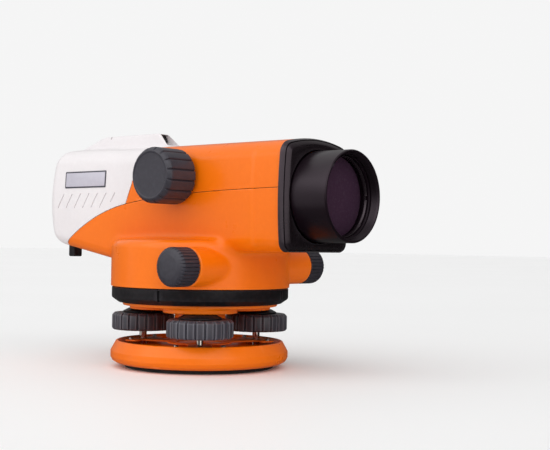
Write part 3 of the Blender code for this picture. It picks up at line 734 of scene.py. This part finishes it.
# Base and levelling
def screw_head(radius, height):
    """A pan head standing on z = 0, with a cross recess."""
    outline = [(0, height), (0.7 * radius, height * 0.94), (radius, 0.45 * height), (radius, 0), (0, 0)]
    head = lathe(soften(outline, 0.25 * radius, keep=(3,)), 32)
    reach, wide = 0.62 * radius, 0.14 * radius
    bars = [block((-x, -y, 0.45 * height), (x, y, 2 * height), 0.02)
            for x, y in ((reach, wide), (wide, reach))]
    return combined(head, "DIFFERENCE", *bars)


def add_base():
    thread = []
    for k in range(5):
        z = 11.8 - 2.31 * k
        thread += [(8.0, z), (9.0, z - 1.0), (9.0, z - 1.3)]
    outer = [(BASE_R - 3.8, BASE_TOP), (BASE_R - 3.1, BASE_TOP - 0.35), (BASE_R, 9.5), (BASE_R, 6.0),
             (BASE_R - 1.2, 3.9), (BASE_R - 3.6, 2.5), (BASE_R - 7.5, GASKET_TOP + 0.25)]
    inner = [(8.0, GASKET_TOP + 0.25), *reversed(thread), (8.6, 13.0), (12.0, 13.0), (12.8, 11.5),
             (47.4, 11.5), (48.4, BASE_TOP)]
    plate = lathe(soften(outer + inner, 0.5, True, 3), 168, ring=True)
    pockets = [lathe([(0, 20), (5.4, 20), (5.4, 5.2), (4.6, 4.6), (0, 4.6)], 40, centre=p)
               for p in FEET.values()]
    skin("base_plate", combined(plate, "DIFFERENCE", *pockets), "orange", "base")
    low = [(12.0, 0.5)]
    for k in range(8):
        r = 14.0 + 3.7 * k
        low += [(r, 0.0), (r + 2.4, 0.0), (r + 2.8, 0.35), (r + 3.3, 0.35)]
    low += [(44.3, 0.0), (44.5, 0.3), (44.5, GASKET_TOP), (12.0, GASKET_TOP)]
    skin("base_gasket", lathe(low, ring=True), "rubber", "base")


def arm_outline():
    """The spring plate: a ring with an arm and a cross bar for each foot screw."""
    outline = []
    for foot in FEET.values():
        angle = atan2(foot.y, foot.x)
        turn = Matrix.Rotation(angle, 2)
        arm = [(17.0, -7.0), (35.2, -7.0), (35.2, -15.4), (44.0, -15.4), (44.0, 15.4), (35.2, 15.4),
               (35.2, 7.0), (17.0, 7.0)]
        outline += [tuple(turn @ Vector(p)) for p in arm]
        for step in (1, 2, 3):
            bridge = angle + radians(22 + 19 * step)
            outline.append((19.6 * cos(bridge), 19.6 * sin(bridge)))
    return soften(outline, 2.2, True, 5)


def add_levelling_plate():
    low, high = span("spring_plate", "z")
    plate = slab(arm_outline(), low, high, 0.2)
    holes = [plug(2.6, low - 3, high + 3, 32, foot) for foot in FEET.values()]
    plate = combined(plate, "DIFFERENCE", plug(13.9, low - 3, high + 3, 64), *holes)
    skin("spring_plate", plate, "plate", "levelling_plate")
    head = screw_head(1.35, 1.5)
    for k in range(1, 7):
        spot = middle(f"plate_screw_{k}")
        spot.z = corners(f"plate_screw_{k}")[0].z
        turn = Matrix.Translation(spot) @ Matrix.Rotation(0.7 * k, 4, "Z")
        skin(f"plate_screw_{k}", moved(head, turn), "worn_steel", "levelling_plate")


def tribrach_field(x, y, z):
    """A disc on a hub, with a lobe over each foot screw and a bore for the spindle."""
    across = np.hypot(x, y)
    disc = rod_field(across, abs(z - 41.3), TRIBRACH_R, 4.9, 0.5)
    hub = rod_field(across, abs(z - 34.0), 15.3, 10.0, 1.0)
    made = meet(disc, hub, 2.0)
    for foot in FEET.values():
        middle_x, middle_y = (v * LOBE_REACH / FOOT_CIRCLE_R for v in foot.xy)
        away = np.hypot(x - middle_x, y - middle_y)
        made = meet(made, rod_field(away, abs(z - 37.25), LOBE_R, 3.95, 0.6), 1.6)
    return cross(made, HUB_BORE_R - across, 0.3)


def add_tribrach():
    plate = field_mesh(tribrach_field, (-48, -48, 22), (48, 48, 48), 0.8)
    skin("tribrach", plate, "orange", "tribrach", sharp=60)
    tiny = screw_head(0.95, 0.5)
    for letter, foot in FEET.items():
        angle = atan2(foot.y, foot.x)
        collar = [(9.4, 33.0), (12.4, 31.4), (12.4, 30.8), (3.9, 30.8), (3.9, 33.0)]
        collar = lathe(soften(collar, 0.25, True), 72, ring=True, centre=foot)
        skin(f"screw_collar_{letter}", collar, "ring", "tribrach")
        reach = LOBE_REACH + sqrt(LOBE_R ** 2 - LOBE_SCREW_ASIDE ** 2) - 0.05
        for side in (-1, 1):
            spot = Matrix.Translation((reach, side * LOBE_SCREW_ASIDE, 37.0))
            turn = Matrix.Rotation(angle, 4, "Z") @ spot
            turn = turn @ Matrix.Rotation(side * 0.45, 4, "Z") @ AXES["x"]
            add(f"lobe_screw_{letter}_{side + 2}", moved(tiny, turn), "steel", "tribrach")


def add_foot_screws():
    for letter, foot in FEET.items():
        high, low, body = FOOT_HIGH, FOOT_LOW, f"foot_{letter}"
        outline = [(3.9, high - 0.5), (9.0, high - 0.5), (10.8, high), (FOOT_R - 1.5, high),
                   (FOOT_R, high - 1.5), (FOOT_R, low + 1.0), (FOOT_R - 1.0, low), (9.0, low),
                   (8.0, low + 1.2), (3.9, low + 1.2)]
        lobes = 22
        rule = ribs(lobes, 1.1, 0.15, FOOT_R, low - 1, high + 1, phase=0.3)
        knob = lathe(soften(outline, 0.9, True, 2), lobes * 12, ring=True, centre=foot, shape=rule)
        skin(f"foot_knob_{letter}", knob, "foot", body)
        shaft = [(0, 44.5), (2.9, 44.5), (3.5, 43.9)]
        for k in range(30):
            z = 43.6 - 0.75 * k
            shaft += [(3.5, z), (3.15, z - 0.37)]
        shaft += [(3.5, 20.9), (3.5, 19.6), (0, 19.6)]
        skin(f"foot_screw_{letter}", lathe(shaft, 40, centre=foot), "steel", body)
        neck = [(0, 19.9), (2.25, 19.9), (2.25, 15.0)]
        neck += [(2.8 * sin(a), 9.3 - 2.8 * cos(a)) for a in np.linspace(2.2, 0.35, 9)]
        neck.append((0, 6.5))
        add(f"foot_neck_{letter}", lathe(neck, 48, centre=foot), "bright", body)


# Horizontal circle
def add_circle():
    """The setting ring, with four cuts across its rim and short notches low on its bevel."""
    def away(angle, centre):
        return abs((angle - centre + pi) % TAU - pi)

    cuts = [(radians(a) % TAU, 0.0115, 1.1, 40.4, 46.6) for a in (-72.8, 17.2, 107.2, 197.2)]
    cuts += [(radians(a) % TAU, 0.009, 0.9, RING_LOW, 40.6)
             for a in (-118, -126.5, -135, 25, 33.5, 42, 62, 53.5, 45, 205, 213.5, 222)]
    angles = set(np.linspace(0, TAU, 192, endpoint=False))
    for centre, half, *_ in cuts:
        angles = {a for a in angles if away(a, centre) > 1.8 * half}
        angles |= {(centre + half * k) % TAU for k in (-1.25, -1, -0.5, 0, 0.5, 1, 1.25)}

    def rule(r, h, around):
        radius = np.full(len(around), float(r))
        for centre, half, depth, low, high in cuts:
            if r >= 48 and low <= h <= high:
                radius -= np.where(away(around, centre) < half + 0.0001, depth, 0)
        return radius

    top, low = RING_HIGH, RING_LOW
    outer = [(RING_R - 0.5, top), (RING_R, top - 0.4), (RING_R, 46.7), (RING_R, 46.5), (RING_R, 41.8),
             (RING_R - 0.25, 41.0), (RING_R - 0.7, 40.6), (RING_R - 1.0, 40.3), (49.3, low + 0.5),
             (48.8, low + 0.1), (48.2, low), (46.9, low)]
    inner = [(46.9, 46.5), (38.1, 46.5), (38.1, top)]
    ring = lathe(outer + inner, ring=True, shape=rule, angles=np.array(sorted(angles)))
    skin("circle_ring", ring, "ring", "circle", sharp=30)


# Housings
def add_lower_case():
    case = field_mesh(lower_field, (-96, -55, DRUM_LOW - 4), (BODY_FRONT + 4, 55, 108), 0.85)
    keep_side(case, (0, 0, DRUM_LOW + 0.25), (0, 0, 1))
    keep_side(case, (BODY_FRONT, 0, 0), (-1, 0, 0))
    keep_side(case, (0, 0, -SEAM_GAP), (0, 0, -1), seam)
    skin("lower_case", thickened(case), "orange", sharp=50)


def add_upper_cover():
    cover = field_mesh(body_field, (-50, -34, 90), (BODY_FRONT + 4, 34, 136), 0.85)
    keep_side(cover, (0, 0, SEAM_GAP), (0, 0, 1), seam)
    keep_side(cover, (BODY_FRONT, 0, 0), (-1, 0, 0))
    keep_side(cover, (SPLIT_X + SEAM_GAP, 0, SEAM_Z), (1, 0, -SPLIT_LEAN))
    skin("upper_cover", thickened(cover), "orange", sharp=50)


def on_side(mesh, side=-1):
    """Wrap a shape, flat in x and z with y as its height, on to the body's side wall."""
    made = mesh.copy()
    for vert in made.vertices:
        x, y, z = vert.co
        vert.co.y = side * (float(side_reach(x, z)) + y)
    if side < 0:
        made.flip_normals()
    return made


def upright(mesh):
    """Stand a slab, drawn in x and y, up in x and z, with its thickness along y."""
    made = moved(mesh, Matrix(((1, 0, 0, 0), (0, 0, 1, 0), (0, 1, 0, 0), (0, 0, 0, 1))))
    made.flip_normals()
    return made


def groove_cutters():
    """Seven slanting grooves low on each side of the rear cover; the front one is short."""
    made = []
    for k in range(7):
        top_x = -92.3 + 7.93 * k
        length = 0.62 if k == 6 else 1.0
        top, foot = Vector((top_x, 103.4)), Vector((top_x - 6.0 * length, 103.4 - 8.9 * length))
        along = (foot - top).normalized()
        aside = Vector((-along.y, along.x)) * 0.42
        outline = (top + aside, foot + aside, foot - aside, top - aside)
        bar = upright(slab(soften(outline, 0.4, True, 3), -0.55, 1.5, 0.05))
        made += [on_side(bar, side) for side in (-1, 1)]
    return made


def add_rear_cover():
    cover = field_mesh(rear_field, (BODY_REAR - 3, -34, 62), (-12, 34, 137), 0.8)
    keep_side(cover, (0, 0, SEAM_GAP), (0, 0, 1), seam)
    keep_side(cover, (SPLIT_X - SEAM_GAP, 0, SEAM_Z), (-1, 0, SPLIT_LEAN))
    bore = plug(12.9, -115, -90, 96, EYE, "x")
    shell = combined(thickened(cover, 2.0), "DIFFERENCE", joined(*groove_cutters()), bore)
    skin("rear_cover", shell, "white", sharp=50)


def add_sight():
    """The sighting rail, with the window in its front slope and the notch in its back."""
    rail = field_mesh(rail_field, (-112, -14, 129), (-14, 14, RAIL_TOP + 2), 0.5)
    mouth = [(-RAIL_TOP + 0.6, -3.3), (-RAIL_TOP + 0.6, 3.3), (-133.3, 5.4), (-133.3, -5.4)]
    opening = moved(slab(soften(mouth, 0.4, True, 3), -43.5, -14.0, 0.1), AXES["x"])
    notch = block((-78.2, -9, RAIL_TOP - 1.9), (-76.9, 9, RAIL_TOP + 1), 0.1)
    rail = combined(rail, "DIFFERENCE", opening, notch)
    skin("sight_rail", rail, "white", sharp=50)
    pane = [(-44.6, 134.0), (-36.2, 134.0), (-33.4, 136.6), (-35.6, 140.4), (-44.6, 140.4)]
    pane = upright(slab(soften(pane, 0.5, True, 3), -3.5, 3.5, 0.2))
    skin("sight_window", pane, "dark")


def add_label():
    x0, x1, z0, z1 = -91.4, -53.4, 106.9, 117.3
    edge = upright(slab(rectangle(x0, z0, x1, z1, 0.8), -0.1, 0.35, 0.12))
    face = upright(slab(rectangle(x0 + 0.9, z0 + 0.9, x1 - 0.9, z1 - 0.9, 0.4), -0.1, 0.42, 0.06))
    add("label_edge", on_side(edge), "label_edge", replaced=["label_plate"])
    add("label_face", on_side(face), "label")


def body_ring(x, inset, rise, count):
    """Points evenly spread round the body's outline at a station."""
    low, high = (float(v) for v in limits(np.array(x)))
    low, high, half = low + rise, high - rise, BODY_HALF - inset
    mid, reach = (low + high) / 2, (high - low) / 2
    corner = max(4.5 - 0.6 * inset, 2.0)
    flat = []
    for sy, sz, start in ((1, -1, -90), (1, 1, 0), (-1, 1, 90), (-1, -1, 180)):
        for j in range(9):
            angle = radians(start + 90 * j / 8)
            flat.append((sy * (half - corner) + corner * cos(angle),
                         mid + sz * (reach - corner) + corner * sin(angle)))
    flat = np.array(flat + flat[:1])
    run = np.concatenate([[0], np.cumsum(np.linalg.norm(np.diff(flat, axis=0), axis=1))])
    at = np.linspace(0, run[-1], count, endpoint=False)
    y, z = np.interp(at, run, flat[:, 0]), np.interp(at, run, flat[:, 1])
    t = (z - mid) / reach
    wide = y + SIDE_BULGE * (1 - t * t) * y / half
    tall = z + TOP_CROWN * (1 - (y / half) ** 2) * np.maximum(t, 0) ** 2
    return np.stack([np.full(count, float(x)), wide, tall], 1)


def add_flange():
    """The black nose: banded rim, flat face and the hole round the tube."""
    face, count = FLANGE_FACE, 200
    bands = [(84.8, -0.9, 0.1), (85.05, -1.15, 0.0), (85.4, -1.1, 0.0), (87.0, 0.35, 0.6),
             (87.2, 0.75, 0.8), (87.1, 1.0, 0.95), (86.6, 1.15, 1.05), (86.6, 1.4, 1.2),
             (87.3, 1.55, 1.3), (87.5, 1.75, 1.45), (88.3, 3.5, 2.5), (88.6, 4.0, 2.9), (face, 4.6, 3.3)]
    rows = [body_ring(x, inset, rise, count) for x, inset, rise in bands]
    away = rows[-1][:, 1:] - (0, AXIS_Z)
    reach = np.linalg.norm(away, axis=1, keepdims=True)
    for radius, x in ((reach / 2 + 13.0, face), (26.0, face), (25.8, face - 0.3), (25.5, face - 0.8),
                      (25.5, 84.8)):
        rows.append(np.column_stack([np.full(count, x), away / reach * radius + (0, AXIS_Z)]))
    mesh = mesh_from(np.concatenate(rows), strips(len(rows), count, closed=True))
    skin("front_flange", mesh, "black", sharp=24)


# Objective
def add_objective():
    front = TUBE_FRONT
    outer = [(24.6, 62.0), (24.6, 88.0), (24.9, 88.4), (25.25, 89.6), (TUBE_R, front - 0.7),
             (24.8, front), (24.1, front), (23.7, front - 0.5)]
    thread = []
    for k in range(6):
        x = front - 0.8 - 0.7 * k
        thread += [(23.45, x), (23.15, x - 0.35)]
    inner = [(23.45, front - 5.2), (23.45, 106.6), (22.6, 106.2), (22.6, 96.5), (21.0, 96.4),
             (21.0, 62.0)]
    profile = soften(outer, 0.3, arc=3) + thread + inner
    tube = lathe(profile, 192, True, "x", EYE)
    skin("objective_tube", tube, "gloss", sharp=30)
    faces = bowl(21.9, 103.0, 2.0, 14) + bowl(21.9, 96.9, -1.2, 14)[::-1]
    skin("objective_lens", lathe(faces, 128, False, "x", EYE), "coated")
    ring = [(21.5, 103.2), (21.3, 103.6), (21.3, 104.4), (21.9, 105.3), (22.45, 105.3), (22.45, 103.2)]
    retainer = lathe(soften(ring, 0.2, True, 2), 144, True, "x", EYE)
    slots = [block((104.4, y - 2.5, AXIS_Z - 1.2), (106.5, y + 2.5, AXIS_Z + 1.2), 0.1)
             for y in (-21.5, 21.5)]
    retainer = combined(retainer, "DIFFERENCE", *slots)
    skin("lens_ring", retainer, "black")


# Knobs
def add_focus_knob():
    inner, outer, r = FOCUS_INNER, FOCUS_OUTER, FOCUS_R
    profile = [(0, inner - 1.5), (11.0, inner - 1.5), (12.0, inner), (r - 0.9, inner), (r, inner - 0.9),
               (r, inner - 6), (r, inner - 12), (r, outer + 3.2), (r - 0.15, outer + 2.3),
               (r - 0.9, outer + 1.2), (13.9, outer + 0.15), (13.4, outer), (12.9, outer + 0.1),
               (12.6, outer + 0.4), (10.0, outer + 0.48), (7.0, outer + 0.53), (4.0, outer + 0.56),
               (0, outer + 0.57)]
    flutes = 16
    rule = ribs(flutes, 0.95, 0.12, r, outer + 0.6, inner + 1, phase=0.5)
    knob = lathe(soften(profile, 0.35, arc=3), flutes * 22, axis="y", centre=(FOCUS.x, 0, FOCUS.z),
                 shape=rule)
    skin("focus_knob", knob, "knob", "focus_control", sharp=34)


def add_tangent_knobs():
    inner, outer, r = TANGENT_INNER, TANGENT_OUTER, TANGENT_R
    profile = [(0, inner + 0.8), (8.0, inner + 0.8), (8.6, inner), (r - 0.6, inner), (r, inner + 0.6),
               (r, inner + 3), (r, outer - 3.6), (r - 0.1, outer - 2.8), (r - 0.8, outer - 1.7),
               (r - 2.2, outer - 0.9), (6.6, outer - 0.35), (4.6, outer - 0.15), (2.6, outer),
               (1.0, outer), (0, outer)]
    flutes = 32
    for side, name in ((-1, "near"), (1, "far")):
        low, high = sorted((side * (inner - 1), side * (outer - 1.6)))
        outline = soften([(radius, side * y) for radius, y in profile], 0.4, arc=3)
        knob = lathe(outline, flutes * 10, axis="y", centre=(TANGENT.x, 0, TANGENT.z),
                     shape=ribs(flutes, 0.5, 0.2, r, low, high))
        skin(f"tangent_knob_{name}", knob, "knob", "slow_motion", sharp=34)


# Eyepiece and circle reader
def add_eyepiece():
    rear = span("eyecup", "x")[0]
    low, high = span("dioptre_ring", "x")
    r = 17.4
    body = [(12.8, high), (r - 0.5, high), (r, high - 0.5), (r, high - 2), (r, low + 1.6),
            (r - 0.8, low), (12.8, low)]
    rule = ribs(36, 0.55, 0.22, r, low + 1.2, high - 1.5)
    ring = lathe(soften(body, 0.3, True, 3), 360, True, "x", EYE, shape=rule)
    skin("dioptre_ring", ring, "black", "dioptre", sharp=34)
    cup = [(9.7, high - 8.6), (16.0, high - 8.6), (16.0, rear + 1.1), (14.6, rear), (11.2, rear),
           (9.7, rear + 1.0)]
    cup = lathe(soften(cup, 0.5, True, 4), 128, True, "x", EYE)
    skin("eyecup", cup, "rubber", "dioptre")
    for k in range(-5, 6):
        long = 1.6 if k % 5 else 2.6
        tick = block((-0.4 * long, -0.14, 0), (0.4 * long, 0.14, 0.1), 0.03)
        turn = Matrix.Translation(EYE) @ Matrix.Rotation(radians(6 * k), 4, "X")
        turn = turn @ Matrix.Translation((high - 0.992, 0, r - 0.02))
        add(f"dioptre_tick_{k + 6}", moved(tick, turn), "mark", "dioptre")
    low, high = span("eyepiece_lens", "x")
    faces = bowl(9.8, high, 1.6, 8) + bowl(9.8, low, -1.8, 8)[::-1]
    skin("eyepiece_lens", lathe(faces, 96, False, "x", EYE), "coated", "dioptre")
    low, high = span("eyepiece_tube", "x")
    tube = [(12.5, high), (12.5, low + 0.4), (12.1, low), (10.6, low), (10.2, low + 0.4), (10.2, high)]
    skin("eyepiece_tube", lathe(tube, 96, True, "x", EYE), "gloss")


def reader_field(x, y, z):
    """The reader's hood below the body, with a bore for its glass."""
    low, high = corners("circle_reader")
    mid, half = (low + high) / 2, (high - low) / 2
    hood = rounded(1.0, abs(x - mid.x) - half.x, abs(y - mid.y) - half.y,
                   np.maximum(low.z - z, z - 78))
    bore = rod_field(np.hypot(y - mid.y, z - READER_Z), abs(x - low.x), 2.4, 2.0, 0.3)
    return cross(cross(hood, -bore, 0.4), 0.35 - body_field(x, y, z), 0.3)


def add_reader():
    low, high = corners("circle_reader")
    hood = field_mesh(reader_field, tuple(v - 2 for v in low), (high.x + 2, high.y + 2, 82), 0.4)
    skin("circle_reader", hood, "ring", sharp=50)
    x = low.x
    glass = [(0, x + 1.0), (1.3, x + 1.15), (2.3, x + 1.5), (2.3, x + 2.0), (0, x + 2.0)]
    glass = lathe(glass, 40, False, "x", (0, (low.y + high.y) / 2, READER_Z))
    add("reader_glass", glass, "coated")


# Circular level and mirror
def add_level():
    spot = (VIAL.x, VIAL.y, 0)
    base = span("level_housing", "z")[0]
    cup = [(0, 78.6), (7.6, 78.6), (7.6, 83.0), (9.2, 83.0), (9.6, 82.5), (9.6, base + 1.6),
           (10.4, base + 1.2), (10.4, base), (0, base)]
    housing = lathe(soften(cup, 0.3, arc=3), 96, centre=spot)
    ears = []
    for side in (-1, 1):
        y = VIAL.y + side * 7.6
        outline = [(2.5, base), (13.0, base), (12.2, 86.0), (11.8, 90.2), (7.4, 90.2), (6.8, 84.5)]
        ear = upright(slab(soften(outline, 1.4, True, 4), y - 1.0, y + 1.0, 0.25))
        hole = plug(1.3, 0, 80, 32, (HINGE.x, 0, HINGE.z), "y")
        ears.append(combined(ear, "DIFFERENCE", hole))
    housing = combined(housing, "UNION", *ears)
    skin("level_housing", housing, "ring")
    vial = lathe(bowl(7.35, 83.5, 0.9, 10) + [(7.35, 79.0), (0, 79.0)], 72, centre=spot)
    skin("level_vial", vial, "liquid")
    mark = lathe([(2.7, 83.62), (3.0, 83.6), (3.0, 83.3), (2.7, 83.3)], 64, True, centre=spot)
    add("level_circle_mark", mark, "ring")
    bubble = [(0, 83.75), (1.2, 83.7), (1.9, 83.5), (2.1, 83.2), (1.6, 82.9), (0, 82.8)]
    bubble = lathe(bubble, 48, centre=(VIAL.x + 0.3, VIAL.y, 0))
    add("level_bubble", bubble, "clear")
    spots = [(-11.5, 1.5)] + [(11.6 * cos(a), 9.0 * sin(a)) for a in (radians(210), radians(330))]
    for k, (x, y) in enumerate(spots, 1):
        head = moved(screw_head(1.5, 1.8), Matrix.Translation((VIAL.x + x, VIAL.y + y, base - 0.25)))
        add(f"level_adjuster_{k}", head, "brass")


def add_mirror():
    swing = Matrix.Translation(HINGE) @ Matrix.Rotation(MIRROR_OPEN, 4, "Y") @ Matrix.Translation(-HINGE)
    x, y, z = HINGE
    plate = slab(rectangle(x - 21.0, y - 6.2, x - 0.3, y + 6.2, 1.6), z - 0.2, z + 1.6, 0.3)
    pocket = slab(rectangle(x - 19.8, y - 5.2, x - 3.0, y + 5.2, 0.9), z - 2.0, z + 0.6, 0.02)
    pin = [(0, y + 8.4), (0.8, y + 8.4), (1.0, y + 8.2), (1.0, y - 8.2), (0.8, y - 8.4), (0, y - 8.4)]
    pin = lathe(pin, 32, axis="y", centre=(x, 0, z))
    holder = combined(moved(combined(plate, "DIFFERENCE", pocket), swing), "UNION", pin)
    skin("mirror_frame", holder, "ring", "level_mirror")
    glass = slab(rectangle(x - 19.5, y - 4.9, x - 3.3, y + 4.9, 0.7), z - 0.1, z + 0.3, 0.06)
    skin("mirror_glass", moved(glass, swing), "mirror", "level_mirror")


# Carried-over pieces
INNER_LOOKS = {
    "steel": ("spindle",), "scale": ("circle_scale",), "steel_y": ("tangent_shaft", "focus_shaft"),
    "steel_x": ("focus_rack", "guide_rod"),
    "brass": ("worm_wheel", "bearing_sleeve", "focus_pinion", "pendulum"),
    "alloy": ("optical_bench", "compensator_frame", "lens_carriage", "reticle_cell"),
    "clear": ("pendulum_prism", "roof_prism", "focusing_lens"),
}


def dress_inner_pieces():
    """Give the CAD pieces inside the case their own materials."""
    for look, nodes in INNER_LOOKS.items():
        for node in nodes:
            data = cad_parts[node].data
            data.materials.clear()
            data.materials.append(LOOKS[look])


def add_floor():
    mesh = bpy.data.meshes.new("floor")
    with editing(mesh) as bm:
        bmesh.ops.create_grid(bm, x_segments=1, y_segments=1, size=8.0)
    made = Shader("pale_floor", Roughness=0.55)
    clouds = made.spread(made.noise(3, 2), 0, 1)
    made.feed("Base Color", made.blend(clouds, (0.95, 0.95, 0.95), (0.97, 0.97, 0.97)))
    mesh.materials.append(made.material)
    floor = linked("floor", mesh)
    floor.location.z = -0.0002
    floor.visible_glossy = False


add_camera()
add_studio()
LOOKS = make_looks()
add_floor()
add_base()
add_levelling_plate()
add_tribrach()
add_foot_screws()
add_circle()
add_lower_case()
add_upper_cover()
add_rear_cover()
add_sight()
add_label()
add_flange()
add_objective()
add_focus_knob()
add_tangent_knobs()
add_eyepiece()
add_reader()
add_level()
add_mirror()
dress_inner_pieces()
